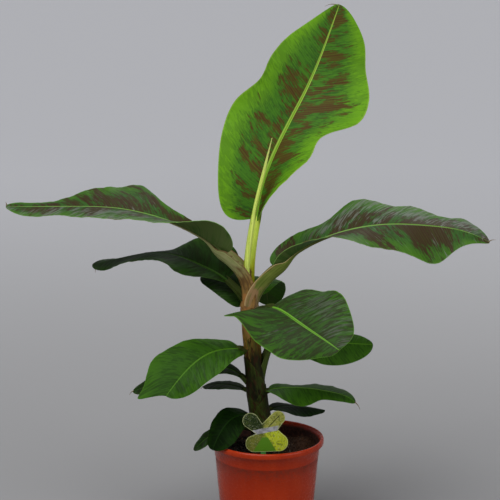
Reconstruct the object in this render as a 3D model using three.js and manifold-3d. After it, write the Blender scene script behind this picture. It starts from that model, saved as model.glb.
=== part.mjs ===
// A potted banana plant: a round nursery pot, its soil, a leaning stem of wrapped leaf sheaths, one rolled
// new leaf, fifteen open leaves and a plain stick-in label.
// Millimetres, +Z up. The origin is the centre of the pot's flat underside, and -Y is the front.

import * as THREE from "three";
import { mergeVertices } from "three/addons/utils/BufferGeometryUtils.js";
import Module from "manifold-3d";

const wasm = await Module();
wasm.setup();

// ---- Driving dimensions ----

const CLEARANCE = 0.35; // between pieces that touch on the real plant

const POT = {
  footRadius: 81,
  neckRadius: 98, // just under the lip
  lipRadius: 105,
  height: 190,
  lipHeight: 11,
  wall: 2.2,
  floor: 3,
  step: { below: 22, proud: 0.8 }, // the fine ring step under the lip
  drain: { count: 6, radius: 5, ring: 56 },
  segments: 48,
};

const SOIL_TOP = 165;

// The stem leans to the left. Each level is a height, a sideways place and a radius.
const STEM = {
  foot: SOIL_TOP + CLEARANCE,
  z: [165, 180, 228, 286, 358, 436, 462],
  x: [-5, -6, -12, -20, -27, -31.5, -32.5],
  radius: [21.5, 20, 18.3, 17.3, 15.2, 16.2, 13],
  sides: 16,
};

const ROLLED_LEAF = {
  points: [[-33.5, -1, 462.8], [-36, -7, 520], [-25, -9, 600], [-7, -9, 680], [8, -8, 744]],
  radius: [5.5, 6.4, 5.2, 3.6, 1],
  rings: 14,
  sides: 10,
};

const LABEL = {
  centre: [-7, -66, 225],
  thickness: 1.6,
  // Four rounded wings: centre, radius, and the arc's start and end in degrees, counter-clockwise.
  wings: [
    { at: [26, 21], radius: 13, arc: [-50, 140] },
    { at: [-23, 16], radius: 14.5, arc: [40, 225] },
    { at: [-16, -27], radius: 16, arc: [130, 270] },
    { at: [28, -25], radius: 16.5, arc: [-90, 60] },
  ],
  notches: [[-2, 10], [-13, -9], null, [26, -1]], // between one wing and the next
  stake: { width: 11, depth: 42 }, // how far it goes into the soil
  arcSteps: 8,
};

// ---- Leaves ----
// A leaf is a stalk and a blade on one midrib that starts inside the stem at the height `from`.
// `rise` and `heading` steer the midrib in degrees: the first and second values are the stalk's two ends,
// and the rest are spread along the blade. Heading 0 is +X, 90 is +Y. The other lists are spread along
// the blade, as pairs of [left half, right half] seen from the stem.
// roll: the whole blade turned about its midrib. fold: each half raised from flat. curl: how far each half
// bends back down. wide: share of the half width. lobe: how far the blade's base corners reach back.
// tip: how far its end corners reach forward.
// wave: height, number of waves, and the phase on each side. blunt: squareness of the outline.

const PLAIN_LEAF = {
  offset: [0, 0],
  fold: [[10, 5, 5], [10, 5, 5]],
  curl: [[15], [15]],
  wide: [[1], [1]],
  lobe: [0.03, 0.03],
  tip: [0, 0],
  wave: [0, 3, 0, 0],
  blunt: 2.3,
};

const LEAVES = {
  leaf_upper_right: {
    from: 436, offset: [3, -4], petiole: 89, blade: 401, width: 165, stalk: [13, 12],
    rise: [66, 47, 27, 13, 0, -8, -32], heading: [-15, -8, -5, -3], roll: [0, 5, 18, 24, 28, 20],
    fold: [[60, 25, 10, 0, -15, -10], [60, 25, 10, 0, -20, -10]],
    curl: [[0, 0, 10, 10, 10, 0], [0, 0, 10, 10, 10, 0]],
    wide: [[0.5, 0.44, 0.72, 1.12, 0.88, 0.88, 0.62, 1.35, 1.2], [0.7, 0.8, 0.82, 0.84, 0.88, 1, 0.96, 0.52, 0.35]],
    lobe: [0.05, 0.05], wave: [4, 3, 0, 90],
  },
  leaf_upper_left: {
    from: 436, offset: [-3, -1], petiole: 109, blade: 408, width: 170, stalk: [15, 13],
    rise: [88, 46, 27, 15, 3, 0, 2], heading: [185, 184, 183, 182], roll: [-10, -14, -14, -14],
    fold: [[60, 50, 32, 18, 16, 16, 6, 2, 0], [50, 35, 14, 12, 8, 10]],
    curl: [[0, 0, 10, 10, 10, 0], [0, 0, 20, 10, 10, 0]],
    wide: [[1, 1.05, 0.8, 0.9, 0.9, 0.85, 0.55, 0.6, 0.6], [0.3, 0.32, 0.34, 0.55, 1.35, 0.95, 0.72, 0.45, 0.32, 0.27, 0.3]],
    wave: [4, 3, 0, 90], blunt: 2.4,
  },
  leaf_top: {
    from: 445, offset: [4, 8], petiole: 150, blade: 424, width: 184, stalk: [12, 11],
    rise: [88, 80, 62, 56, 64, 68], heading: [60, 50, 38, 35, 33, 30], roll: [30, 40, 52, 62, 66],
    fold: [[12, 10, 8, 5], [60, 35, 12, 8]],
    curl: [[0], [-30, 0, 0, 0]],
    wide: [[1.4, 1.18, 1.2, 1.16, 0.92, 0.94, 0.84, 0.6, 0.35], [0.9, 1.1, 1.04, 0.86, 1.28, 1.25, 1.02, 0.95, 0.7]],
    lobe: [0.05, 0.04], wave: [6, 2, 0, 90], blunt: 2.6,
  },
  leaf_middle_front: {
    from: 379, petiole: 110, blade: 168, width: 150, stalk: [10, 7],
    rise: [80, 10, -16, -20, -21, -25], heading: [-76, -54, -46, -41, -38], roll: [5, 23, 45, 52, 52],
    fold: [[24, 14, 9, 5, 0], [12, 8, 5, 0]],
    curl: [[20], [20]],
    wide: [[1.4, 1.22, 1.12, 1.12, 1.12, 1.1, 1.03, 0.94, 0.9], [2.15, 1.45, 1.17, 1, 0.93, 0.78, 0.63, 0.5, 0.5]],
    lobe: [0.08, 0.27], tip: [0.05, 0], wave: [3, 2, 0, 90], blunt: 2.6,
  },
  leaf_middle_left: {
    from: 428, petiole: 70, blade: 266, width: 110, stalk: [8, 6],
    rise: [62, 40, 24, 22, 8, -5, -14, -15, -14], heading: [165, 168, 168, 170], roll: [-35, -30, -24, -8, 0, 0, -2, -5],
    fold: [[20, 10, 5, 0, 0, -6, -8, -8], [25, 12, 4, -2, -4, -8, -5, 0]],
    curl: [[0, 5, 5, 5], [0, 5, 5, 5]],
    wide: [[0.5, 0.75, 0.95, 0.9, 0.9, 0.95, 1, 1], [1.9, 1.75, 1.4, 0.95, 0.85, 0.9, 0.95, 1]],
    wave: [3, 3, 0, 90],
  },
  leaf_middle_left_back: {
    from: 405, petiole: 35, blade: 112, width: 74, stalk: [7, 4],
    rise: [55, 55, 40, 14, -10], heading: [135, 140, 145], roll: [-15, -20, -20],
    curl: [[20], [10]],
    wide: [[0.9], [0.45, 0.85, 1]],
  },
  leaf_middle_back: {
    from: 403, petiole: 60, blade: 160, width: 80, stalk: [7, 5],
    rise: [62, 44, 12, -28, -55, -65], heading: [66, 77, 82], roll: [0, 5, 5],
    curl: [[20], [20]],
    wide: [[0.5, 0.8, 0.9], [1]],
  },
  leaf_middle_right: {
    from: 285, offset: [4, 0], petiole: 88, blade: 200, width: 96, stalk: [10, 6],
    rise: [82, 60, -12, -16, -8, -4], heading: [-10, 6, 10, 10], roll: [20, 40, 45],
    fold: [[10, 0, 0], [10, 0, 0]],
    curl: [[20], [20]],
    wide: [[1, 1, 0.9, 0.7, 0.7], [1, 1.05, 1.05, 0.98, 0.9]],
    blunt: 1.8,
  },
  leaf_lower_left_front: {
    from: 338, petiole: 38, blade: 174, width: 118, stalk: [8, 6],
    rise: [60, 14, -4, -28, -42, -48], heading: [205, 210, 212, 213], roll: [-15, -30, -40, -42],
    fold: [[12, 8, 5, 0], [12, 8, 5, 0]],
    wide: [[0.7, 0.75, 0.78, 0.72, 0.66, 0.6], [0.65, 0.63, 0.68, 0.76, 0.86, 1.0, 1.15, 1.0, 1.6]],
    lobe: [0.05, 0.05], tip: [0, 0.21], wave: [3, 2, 0, 90], blunt: 3,
  },
  leaf_lower_left: {
    from: 272, petiole: 44, blade: 213, width: 60, stalk: [8, 5],
    rise: [55, 42, -2, -16, -23, -22], heading: [185, 182, 178, 175], roll: [-10, -20, -20],
  },
  leaf_lower_left_back: {
    from: 266, petiole: 30, blade: 80, width: 46, stalk: [6, 4],
    rise: [32, 16, 4, -8, -20], heading: [160, 160, 165], roll: [0, -5, -5],
  },
  leaf_lower_right: {
    from: 268, petiole: 30, blade: 160, width: 95, stalk: [8, 5],
    rise: [35, 22, 6, -1, -8, -14, -45], heading: [-15, -12, -10, -8], roll: [0, 10, 12, 12],
    fold: [[20, -12, -10, -8, -2], [20, -15, -27, -25]],
    wide: [[1, 1, 0.9], [1, 1.02, 0.85, 0.42, 0.38, 0.35]],
  },
  leaf_lower_right_back: {
    from: 232, petiole: 34, blade: 106, width: 66, stalk: [6, 4],
    rise: [30, 10, -8, -14, -18], heading: [25, 25, 28], roll: [0, 10, 10],
    fold: [[10, -10, -15], [10, -10, -15]],
    wide: [[1], [1, 1.05, 0.85, 0.6, 0.5]],
  },
  leaf_rim_front: {
    from: 218, petiole: 30, blade: 112, width: 62, stalk: [7, 4],
    rise: [50, 22, -4, -36, -54, -62], heading: [217, 217, 218, 220], roll: [-10, -20, -20],
    wide: [[1, 1.15, 1.2], [1, 0.92, 0.74, 0.68, 0.85]],
  },
  leaf_rim_left: {
    from: 203, petiole: 50, blade: 90, width: 38, stalk: [6, 4],
    rise: [12, 3, -13, -28, -40, -46], heading: [190, 192, 192], roll: [0, -10, -10],
  },
};

const BLADE_THINNEST = 2; // and at least a hundredth of the leaf's length
const BLADE_START = 0.03; // share of the blade over which the stalk spreads into it
const LOBE_SPAN = 0.25; // share of the blade that a base corner's backward reach fades over
const TIP_SPAN = 0.3; // share of the blade that an end corner's forward reach grows over
const CORNER_GAIN = 4; // the reach of a corner is greatest where the blade is still narrow
const FORWARD_SWEEP = 0.04; // share of the blade's length that the margin lies ahead of its midrib
const TIP_HALF_WIDTH = 2.5;
const MIDRIB_STEPS = 200;
const STALK_STATIONS = 5;
const FORK_HEIGHT = 436; // leaves that start from here up crowd the stem's fork

const COLOURS = {
  pot: "#a33b21",
  soil: "#2a211b",
  stem: "#3f3a24",
  label: "#8a9a3c",
  newLeaf: "#b9c46a",
  brightLeaf: "#5f8f36",
  darkLeaf: "#35512e",
};

// ---- Small helpers ----

const radians = THREE.MathUtils.degToRad;
const lerp = THREE.MathUtils.lerp;

/** The value at fraction f of a list of evenly spaced values, on a smooth curve through them. */
function along(values, f) {
  const last = values.length - 1;
  if (last < 1) return values[0];
  const place = THREE.MathUtils.clamp(f, 0, 1) * last;
  const i = Math.min(Math.floor(place), last - 1);
  const u = place - i;
  const before = i > 0 ? values[i - 1] : 2 * values[0] - values[1];
  const after = i + 2 <= last ? values[i + 2] : 2 * values[last] - values[last - 1];
  const [b, c] = [values[i], values[i + 1]];
  const quadratic = 2 * before - 5 * b + 4 * c - after;
  const cubic = 3 * b - before - 3 * c + after;
  return 0.5 * (2 * b + (c - before) * u + quadratic * u ** 2 + cubic * u ** 3);
}

/** The value at x on straight lines between the points (xs, ys). */
function between(x, xs, ys) {
  const i = THREE.MathUtils.clamp(xs.findIndex((edge) => edge >= x), 1, xs.length - 1);
  const share = THREE.MathUtils.clamp((x - xs[i - 1]) / (xs[i] - xs[i - 1]), 0, 1);
  return lerp(ys[i - 1], ys[i], share);
}

/** A closed surface over a row of rings with equal counts of points, from a list of triangles on each end. */
function ringSurface(rings, capTriangles) {
  const count = rings[0].length;
  const index = [];
  for (let ring = 0; ring + 1 < rings.length; ring++) {
    for (let k = 0; k < count; k++) {
      const a = ring * count + k;
      const b = ring * count + ((k + 1) % count);
      index.push(a, a + count, b, b, a + count, b + count);
    }
  }
  const end = (rings.length - 1) * count;
  for (const [a, b, c] of capTriangles) {
    index.push(a, b, c, end + c, end + b, end + a);
  }
  const geometry = new THREE.BufferGeometry().setFromPoints(rings.flat());
  geometry.setIndex(index);
  return faceOut(geometry);
}

/** Turns every triangle round if the closed surface is inside out. */
function faceOut(geometry) {
  const index = geometry.index.array;
  const [a, b, c] = [new THREE.Vector3(), new THREE.Vector3(), new THREE.Vector3()];
  const place = geometry.attributes.position;
  let volume = 0;
  for (let i = 0; i < index.length; i += 3) {
    a.fromBufferAttribute(place, index[i]);
    b.fromBufferAttribute(place, index[i + 1]);
    c.fromBufferAttribute(place, index[i + 2]);
    volume += a.dot(b.cross(c));
  }
  if (volume < 0) {
    for (let i = 0; i < index.length; i += 3) {
      [index[i + 1], index[i + 2]] = [index[i + 2], index[i + 1]];
    }
  }
  return geometry;
}

/** Cap triangles of a round section, as a fan. */
function fanCap(count) {
  return Array.from({ length: count - 2 }, (_, k) => [0, k + 1, k + 2]);
}

/** Cap triangles of a flat section whose second half of points runs back under the first half. */
function stripCap(count) {
  const half = count / 2;
  const triangles = [];
  for (let k = 0; k + 1 < half; k++) {
    const [top, next, under, nextUnder] = [k, k + 1, count - 1 - k, count - 2 - k];
    triangles.push([top, next, under], [next, nextUnder, under]);
  }
  return triangles;
}

/** A closed geometry as a solid for cutting and joining. */
function solidOf(geometry) {
  const bare = geometry.clone();
  bare.deleteAttribute("normal");
  bare.deleteAttribute("uv");
  const merged = mergeVertices(bare, 1e-4);
  return new wasm.Manifold(
    new wasm.Mesh({
      numProp: 3,
      vertProperties: new Float32Array(merged.attributes.position.array),
      triVerts: new Uint32Array(merged.index.array),
    }),
  );
}

/** The largest body of a solid as a geometry: a cut can leave small scraps behind. */
function geometryOf(solid) {
  const bodies = solid.decompose().sort((a, b) => b.volume() - a.volume());
  const mesh = bodies[0].getMesh();
  return new THREE.BufferGeometry()
    .setAttribute("position", new THREE.BufferAttribute(mesh.vertProperties, 3))
    .setIndex(new THREE.BufferAttribute(mesh.triVerts, 1));
}

const cutBy = (solid, ...others) => others.reduce((left, other) => left.subtract(other), solid);

// ---- Pot, soil and label ----

const neckHeight = POT.height - POT.lipHeight;

/** The pot wall's outer radius at a height, from the foot to the neck. */
function potRadius(z) {
  return lerp(POT.footRadius, POT.neckRadius, z / neckHeight);
}

function potGeometry() {
  const { wall, floor, step, drain, segments } = POT;
  const stepTop = neckHeight - step.below;
  const profile = [
    [0, 0],
    [POT.footRadius - 2, 0],
    [potRadius(2), 2],
    [potRadius(stepTop - 1.5) - step.proud, stepTop - 1.5],
    [potRadius(stepTop), stepTop],
    [POT.neckRadius, neckHeight],
    [POT.lipRadius - 1.5, neckHeight],
    [POT.lipRadius, neckHeight + 2],
    [POT.lipRadius, POT.height - 3],
    [POT.lipRadius - 1.5, POT.height - 0.5],
    [POT.lipRadius - 3, POT.height],
    [POT.neckRadius + 1, POT.height - 1.5],
    [POT.neckRadius - wall, neckHeight - 3],
    [potRadius(floor) - wall, floor],
    [0, floor],
  ];
  const bowl = new THREE.LatheGeometry(profile.map(([r, z]) => new THREE.Vector2(r, z)), segments);
  bowl.rotateX(Math.PI / 2);
  const holes = Array.from({ length: drain.count }, (_, k) => {
    const turn = (k / drain.count) * 2 * Math.PI;
    const hole = new THREE.CylinderGeometry(drain.radius, drain.radius, 4 * floor, 8).rotateX(Math.PI / 2);
    return solidOf(hole.translate(drain.ring * Math.cos(turn), drain.ring * Math.sin(turn), 0));
  });
  return geometryOf(cutBy(solidOf(faceOut(mergedLathe(bowl))), ...holes));
}

/** A lathe's geometry with its seam and its points on the axis merged. */
function mergedLathe(lathe) {
  lathe.deleteAttribute("normal");
  lathe.deleteAttribute("uv");
  return mergeVertices(lathe, 1e-4);
}

function soilGeometry() {
  const bottom = POT.floor + CLEARANCE;
  const inner = (z) => potRadius(z) - POT.wall - CLEARANCE;
  const profile = [
    [0, bottom],
    [inner(bottom), bottom],
    [inner(SOIL_TOP - 4), SOIL_TOP - 4],
    [inner(SOIL_TOP) - 4, SOIL_TOP],
    [0, SOIL_TOP],
  ];
  const body = new THREE.LatheGeometry(profile.map(([r, z]) => new THREE.Vector2(r, z)), POT.segments);
  body.rotateX(Math.PI / 2);
  const { width, depth } = LABEL.stake;
  const slot = new THREE.BoxGeometry(width + 2 * CLEARANCE, LABEL.thickness + 2 * CLEARANCE, 2 * depth);
  slot.translate(LABEL.centre[0], LABEL.centre[1], SOIL_TOP - CLEARANCE);
  return geometryOf(cutBy(solidOf(faceOut(mergedLathe(body))), solidOf(slot)));
}

/** The label's plate: four wings with straight edges between them, on an upright stake. */
function labelGeometry() {
  const outline = new THREE.Shape();
  LABEL.wings.forEach(({ at, radius, arc }, k) => {
    const [start, end] = arc.map(radians);
    outline.absarc(at[0], at[1], radius, start, end, false);
    if (LABEL.notches[k]) outline.lineTo(...LABEL.notches[k]);
  });
  outline.closePath();
  const [x, y, z] = LABEL.centre;
  const plate = { depth: LABEL.thickness, bevelEnabled: false, curveSegments: LABEL.arcSteps };
  const wings = new THREE.ExtrudeGeometry(outline, plate);
  wings.translate(0, 0, -LABEL.thickness / 2).rotateX(Math.PI / 2).translate(x, y, z);
  const { width, depth } = LABEL.stake;
  const length = z - (SOIL_TOP - depth);
  const stake = new THREE.BoxGeometry(width, LABEL.thickness, length);
  stake.translate(x, y, z - length / 2);
  return geometryOf(solidOf(wings).add(solidOf(stake)));
}

// ---- Stem and rolled leaf ----

/** The stem's axis at a height. */
function stemAxis(z) {
  return new THREE.Vector3(between(z, STEM.z, STEM.x), 0, z);
}

/** The stem as rings at its levels. `grow` widens it and lifts its top, for cutting its neighbours clear. */
function stemGeometry(grow = 0) {
  const rings = STEM.z.map((level, k) => {
    const z = k === 0 ? STEM.foot - grow : level + (k === STEM.z.length - 1 ? grow : 0);
    const axis = stemAxis(Math.min(z, STEM.z.at(-1)));
    return Array.from({ length: STEM.sides }, (_, side) => {
      const turn = (side / STEM.sides) * 2 * Math.PI;
      const radius = STEM.radius[k] + grow;
      return new THREE.Vector3(axis.x + radius * Math.cos(turn), axis.y + radius * Math.sin(turn), z);
    });
  });
  return ringSurface(rings, fanCap(STEM.sides));
}

/** The new leaf, still rolled into a slim cone. */
function rolledLeafGeometry() {
  const { points, radius, rings, sides } = ROLLED_LEAF;
  const line = new THREE.CatmullRomCurve3(points.map((point) => new THREE.Vector3(...point)));
  const sections = Array.from({ length: rings }, (_, k) => {
    const f = k / (rings - 1);
    const centre = line.getPoint(f);
    const size = along(radius, f);
    return Array.from({ length: sides }, (__, side) => {
      const turn = (side / sides) * 2 * Math.PI;
      return centre.clone().add(new THREE.Vector3(size * Math.cos(turn), size * Math.sin(turn), 0));
    });
  });
  return ringSurface(sections, fanCap(sides));
}

// ---- The leaf rule ----

/** Points and directions along a leaf's midrib, one each MIDRIB_STEPS of its length. */
function midribOf(leaf) {
  const length = leaf.petiole + leaf.blade;
  const stalkShare = leaf.petiole / length;
  const steer = (values, f) => {
    const knot = f < stalkShare ? f / stalkShare : 1 + ((f - stalkShare) / (1 - stalkShare)) * (values.length - 2);
    return radians(along(values, knot / (values.length - 1)));
  };
  const direction = (f) => {
    const [rise, heading] = [steer(leaf.rise, f), steer(leaf.heading, f)];
    const level = Math.cos(rise);
    return new THREE.Vector3(level * Math.cos(heading), level * Math.sin(heading), Math.sin(rise));
  };
  const start = stemAxis(leaf.from).add(new THREE.Vector3(leaf.offset[0], leaf.offset[1], 0));
  const steps = [{ point: start, ahead: direction(0), heading: steer(leaf.heading, 0) }];
  for (let k = 1; k <= MIDRIB_STEPS; k++) {
    const previous = steps[k - 1];
    const f = k / MIDRIB_STEPS;
    const ahead = direction(f);
    const mean = previous.ahead.clone().add(ahead).multiplyScalar(length / MIDRIB_STEPS / 2);
    steps.push({ point: previous.point.clone().add(mean), ahead, heading: steer(leaf.heading, f) });
  }
  return { length, steps };
}

/** The midrib's place and its directions ahead, left and up, s millimetres along it. It runs on straight past its end. */
function frameAt(leaf, midrib, s) {
  const place = THREE.MathUtils.clamp(s / midrib.length, 0, 1) * MIDRIB_STEPS;
  const k = Math.min(Math.floor(place), MIDRIB_STEPS - 1);
  const [from, to] = [midrib.steps[k], midrib.steps[k + 1]];
  const share = place - k;
  const ahead = from.ahead.clone().lerp(to.ahead, share).normalize();
  const heading = lerp(from.heading, to.heading, share);
  const left = new THREE.Vector3(-Math.sin(heading), Math.cos(heading), 0);
  const roll = radians(along(leaf.roll, (s - leaf.petiole) / leaf.blade));
  left.applyAxisAngle(ahead, roll);
  const point = from.point.clone().lerp(to.point, share).addScaledVector(ahead, Math.max(0, s - midrib.length));
  return { point, left, up: ahead.clone().cross(left), ahead };
}

/** The blade's outline at t as a share of its full width, before either half's own share. */
function outlineAt(leaf, t) {
  return Math.sqrt(Math.max(0, 1 - Math.abs(2 * t - 1) ** leaf.blunt));
}

/** A point of the blade's middle surface and the surface's normal there.
 * t is the share of the blade's length, q the share of the half width, and side 0 is left, 1 is right. */
function bladePoint(leaf, midrib, t, side, q, width) {
  const out = q * outlineAt(leaf, t);
  const back = leaf.lobe[side] * Math.max(0, 1 - t / LOBE_SPAN) ** 2 * out ** 1.3;
  const onward = leaf.tip[side] * Math.max(0, (t - 1) / TIP_SPAN + 1) ** 2 * out ** 1.5;
  const forward = FORWARD_SWEEP * q ** 2 * Math.sin(Math.PI * t);
  const s = leaf.petiole + leaf.blade * (t + forward + CORNER_GAIN * (onward - back));
  const { point, left, up, ahead } = frameAt(leaf, midrib, Math.max(s, leaf.petiole));
  point.addScaledVector(ahead, Math.min(0, s - leaf.petiole));
  const here = THREE.MathUtils.clamp((s - leaf.petiole) / leaf.blade, 0, 1);
  const fold = radians(along(leaf.fold[side], here));
  const curl = radians(along(leaf.curl[side], here)) || 1e-3;
  const slope = fold - curl * q;
  const [height, count, ...phases] = leaf.wave;
  const swing = Math.sin(2 * Math.PI * count * here + radians(phases[side]));
  const wave = height * q ** 2 * Math.sqrt(Math.sin(Math.PI * here)) * swing;
  const across = (width / curl) * (Math.sin(fold) - Math.sin(slope)) - Math.sin(slope) * wave;
  const rise = (width / curl) * (Math.cos(slope) - Math.cos(fold)) + Math.cos(slope) * wave;
  const outward = side === 0 ? 1 : -1;
  return {
    point: point.addScaledVector(left, outward * across).addScaledVector(up, rise),
    normal: left.multiplyScalar(-outward * Math.sin(slope)).addScaledVector(up, Math.cos(slope)),
  };
}

// The stalk's half section, from its middle to its edge, in half widths: a channel open above.
const STALK_SECTION = {
  3: { out: [0, 0.35, 0.75, 1], top: [-0.2, -0.05, 0.45, 0.9], under: [-1.1, -1, -0.65, 0.5] },
  2: { out: [0, 0.6, 1], top: [-0.15, 0.2, 0.7], under: [-1, -0.8, 0.3] },
};

/** One ring of a leaf: its upper points from the left edge to the right edge, and its lower ones back. */
function leafRing(leaf, midrib, s, detail, thickness, grow) {
  const t = Math.max(0, (s - leaf.petiole) / leaf.blade);
  const open = THREE.MathUtils.smoothstep(t, 0, BLADE_START);
  const stalk = s < leaf.petiole ? lerp(...leaf.stalk, s / leaf.petiole) : leaf.stalk[1];
  const rib = Math.max(stalk * (1 - 0.75 * t), 0.8 * thickness);
  const { out, top, under } = STALK_SECTION[detail];
  const frame = frameAt(leaf, midrib, s);
  const [upper, lower] = [[], []];
  for (let side = 0; side < 2; side++) {
    const width = Math.max((leaf.width / 2) * outlineAt(leaf, t) * along(leaf.wide[side], t), TIP_HALF_WIDTH, rib * (1 - t)) + grow;
    for (let k = side === 0 ? detail : 1; side === 0 ? k >= 0 : k <= detail; k += side === 0 ? -1 : 1) {
      const share = k / detail;
      const reach = k === 0 ? 0 : k === 1 ? Math.min(rib / width, 1 / detail) : share;
      const { point, normal } = bladePoint(leaf, midrib, t, side, reach, width);
      const depth = thickness / 2 + (k === 0 ? stalk * 0.6 * (1 - t) : 0);
      const outward = (side === 0 ? 1 : -1) * (stalk + grow);
      const stalkPoint = (height) =>
        frame.point.clone().addScaledVector(frame.left, outward * out[k]).addScaledVector(frame.up, height);
      const above = stalkPoint(stalk * top[k] + 3 * grow).lerp(point.clone().addScaledVector(normal, thickness / 2), open);
      const below = stalkPoint(stalk * under[k] - 1.5 * grow).lerp(point.clone().addScaledVector(normal, -depth), open);
      upper.push(above);
      lower.unshift(below);
    }
  }
  return [...upper, ...lower];
}

/** A whole leaf as one closed surface. `grow` makes it larger all round, for cutting a neighbour clear. */
function leafGeometry(leaf, grow = 0) {
  const midrib = midribOf(leaf);
  const large = leaf.blade > 150;
  const bladeStations = leaf.blade > 400 ? 20 : large ? 14 : 11;
  const thickness = Math.max(BLADE_THINNEST, midrib.length / 100) + 2 * grow;
  const stations = Array.from({ length: STALK_STATIONS }, (_, k) => (leaf.petiole * k) / STALK_STATIONS);
  for (let k = 0; k <= bladeStations; k++) {
    stations.push(leaf.petiole + (leaf.blade * (1 - Math.cos((Math.PI * k) / bladeStations))) / 2);
  }
  const detail = large ? 3 : 2;
  const rings = stations.map((s) => leafRing(leaf, midrib, s, detail, thickness, grow));
  return ringSurface(rings, stripCap(rings[0].length));
}

// ---- Assembly ----

const material = (color, roughness) => new THREE.MeshStandardMaterial({ color, roughness, metalness: 0 });

const looks = {
  pot: material(COLOURS.pot, 0.35),
  soil: material(COLOURS.soil, 0.95),
  stem: material(COLOURS.stem, 0.6),
  label: material(COLOURS.label, 0.5),
  newLeaf: material(COLOURS.newLeaf, 0.5),
  brightLeaf: material(COLOURS.brightLeaf, 0.45),
  darkLeaf: material(COLOURS.darkLeaf, 0.45),
};

const plant = new THREE.Group();

function place(name, geometry, look) {
  const mesh = new THREE.Mesh(geometry, look);
  mesh.name = name;
  plant.add(mesh);
}

place("pot", potGeometry(), looks.pot);
place("soil", soilGeometry(), looks.soil);
place("plant_label", labelGeometry(), looks.label);
place("stem", stemGeometry(), looks.stem);

// The leaves that crowd the stem's fork are cut clear of the ones outside them, which come first.
const wideStem = solidOf(stemGeometry(CLEARANCE));
const forkLeaves = [];
for (const [name, values] of Object.entries(LEAVES)) {
  const leaf = { ...PLAIN_LEAF, ...values };
  const body = cutBy(solidOf(leafGeometry(leaf)), wideStem, ...forkLeaves);
  place(name, geometryOf(body), name === "leaf_top" ? looks.brightLeaf : looks.darkLeaf);
  if (leaf.from >= FORK_HEIGHT) forkLeaves.push(solidOf(leafGeometry(leaf, CLEARANCE)));
}
place("rolled_leaf", geometryOf(cutBy(solidOf(rolledLeafGeometry()), wideStem, ...forkLeaves)), looks.newLeaf);

export default plant;
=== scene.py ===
"""A young banana plant in a plastic nursery pot.

The leaves, stem, pot, soil and label are made here as finer meshes than the frame's plain solids, by the
same leaf rule and sizes, and they stay where those solids are. Sizes are millimetres until a mesh is made.
"""

import math
import random
from functools import partialmethod

import bmesh
import bpy
from mathutils import Matrix, Vector, noise


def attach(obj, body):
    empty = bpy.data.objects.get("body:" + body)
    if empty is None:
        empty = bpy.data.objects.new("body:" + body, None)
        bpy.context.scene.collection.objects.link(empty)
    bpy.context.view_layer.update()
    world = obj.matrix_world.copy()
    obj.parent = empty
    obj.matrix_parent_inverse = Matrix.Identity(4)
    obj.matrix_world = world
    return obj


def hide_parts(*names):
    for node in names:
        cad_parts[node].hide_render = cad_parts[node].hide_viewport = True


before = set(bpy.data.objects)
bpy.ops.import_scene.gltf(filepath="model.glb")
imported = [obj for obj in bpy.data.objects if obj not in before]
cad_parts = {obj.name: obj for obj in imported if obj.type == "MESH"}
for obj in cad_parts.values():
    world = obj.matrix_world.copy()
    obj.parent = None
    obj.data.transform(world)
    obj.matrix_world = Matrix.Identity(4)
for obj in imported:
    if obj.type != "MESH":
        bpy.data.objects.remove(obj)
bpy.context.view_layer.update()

MM = 0.001

# ---- Sizes ----

POT = {
    "foot_radius": 81, "neck_radius": 98, "lip_radius": 105, "height": 190, "lip_height": 11,
    "wall": 2.2, "floor": 3, "step_below_lip": 22, "step_proud": 0.8,
    "drain_count": 6, "drain_radius": 5, "drain_ring": 56,
}
NECK_HEIGHT = POT["height"] - POT["lip_height"]
SOIL_TOP = 165

STEM_Z = [165, 180, 228, 286, 358, 436, 462]
STEM_X = [-5, -6, -12, -20, -27, -31.5, -32.5]
STEM_RADIUS = [21.5, 20, 18.3, 17.3, 15.2, 16.2, 13]

STEM_TOP = 461
STEM_INSET = 0.9  # how far the relief's ground lies inside the stem's radius
SHEATH_WRAP = 128  # degrees to each side of its leaf
SHEATH_PROUD, SHEATH_STEP = 0.4, 0.13  # how proud the top sheath is, and how much more each next one
HIGH_LEAF = 400  # the sheaths of leaves above this height are the longer ones
HIGH_REACH, LOW_REACH = 150, 90

ROLLED_POINTS = [(-33.5, -1, 450), (-36, -7, 520), (-25, -9, 600), (-7, -9, 680), (8, -8, 743)]
ROLLED_RADIUS = [4, 5, 4.6, 3.3, 0.6]
ROLLED_WIND = 0.85  # turns that the free edge makes on its way up

HEAP_CENTRE, HEAP_HEIGHT, HEAP_SPREAD = (76, 42), 12, 30
CRUMB_REACH = 92
CRUMB_FREE = 22  # no crumb lies nearer the stem's middle
# Each kind of crumb: its piece, how many are thrown, and its smallest and largest size.
CRUMBS = [
    ("soil_crumbs_dark", 1500, (0.8, 3.2)),
    ("soil_crumbs_brown", 700, (0.7, 2.6)),
    ("soil_chips", 70, (0.6, 1.5)),
]

LABEL_CENTRE = (-7, -66, 225)
LABEL_THICKNESS = 1.4
LABEL_STAKE = {"width": 11, "depth": 42}
# Each wing: centre, radius, and the arc's start and end in degrees, counter-clockwise.
LABEL_WINGS = [
    ((26, 21), 13, (-50, 140)),
    ((-23, 16), 14.5, (40, 225)),
    ((-16, -27), 16, (130, 270)),
    ((28, -25), 16.5, (-90, 60)),
]
LABEL_NOTCHES = [(-2, 10), (-13, -9), None, (26, -1)]

# ---- Leaves ----
# A leaf is a stalk and a blade on one midrib that starts inside the stem at the height "from".
# "rise" and "heading" steer the midrib in degrees: the first and second values are the stalk's two ends,
# and the rest are spread along the blade. Heading 0 is +X, 90 is +Y. The other lists are spread along
# the blade, as pairs of [left half, right half] seen from the stem. "tone" picks the finish, "slant" is how
# far the side veins run forward for each step out, "bow" is how far the stalk bends off its line, and
# "midrib" is half the midrib's width where the blade starts. "thread" is the length of the dry thread at the
# tip, and "thread_way" is where it points, or straight on.

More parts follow.
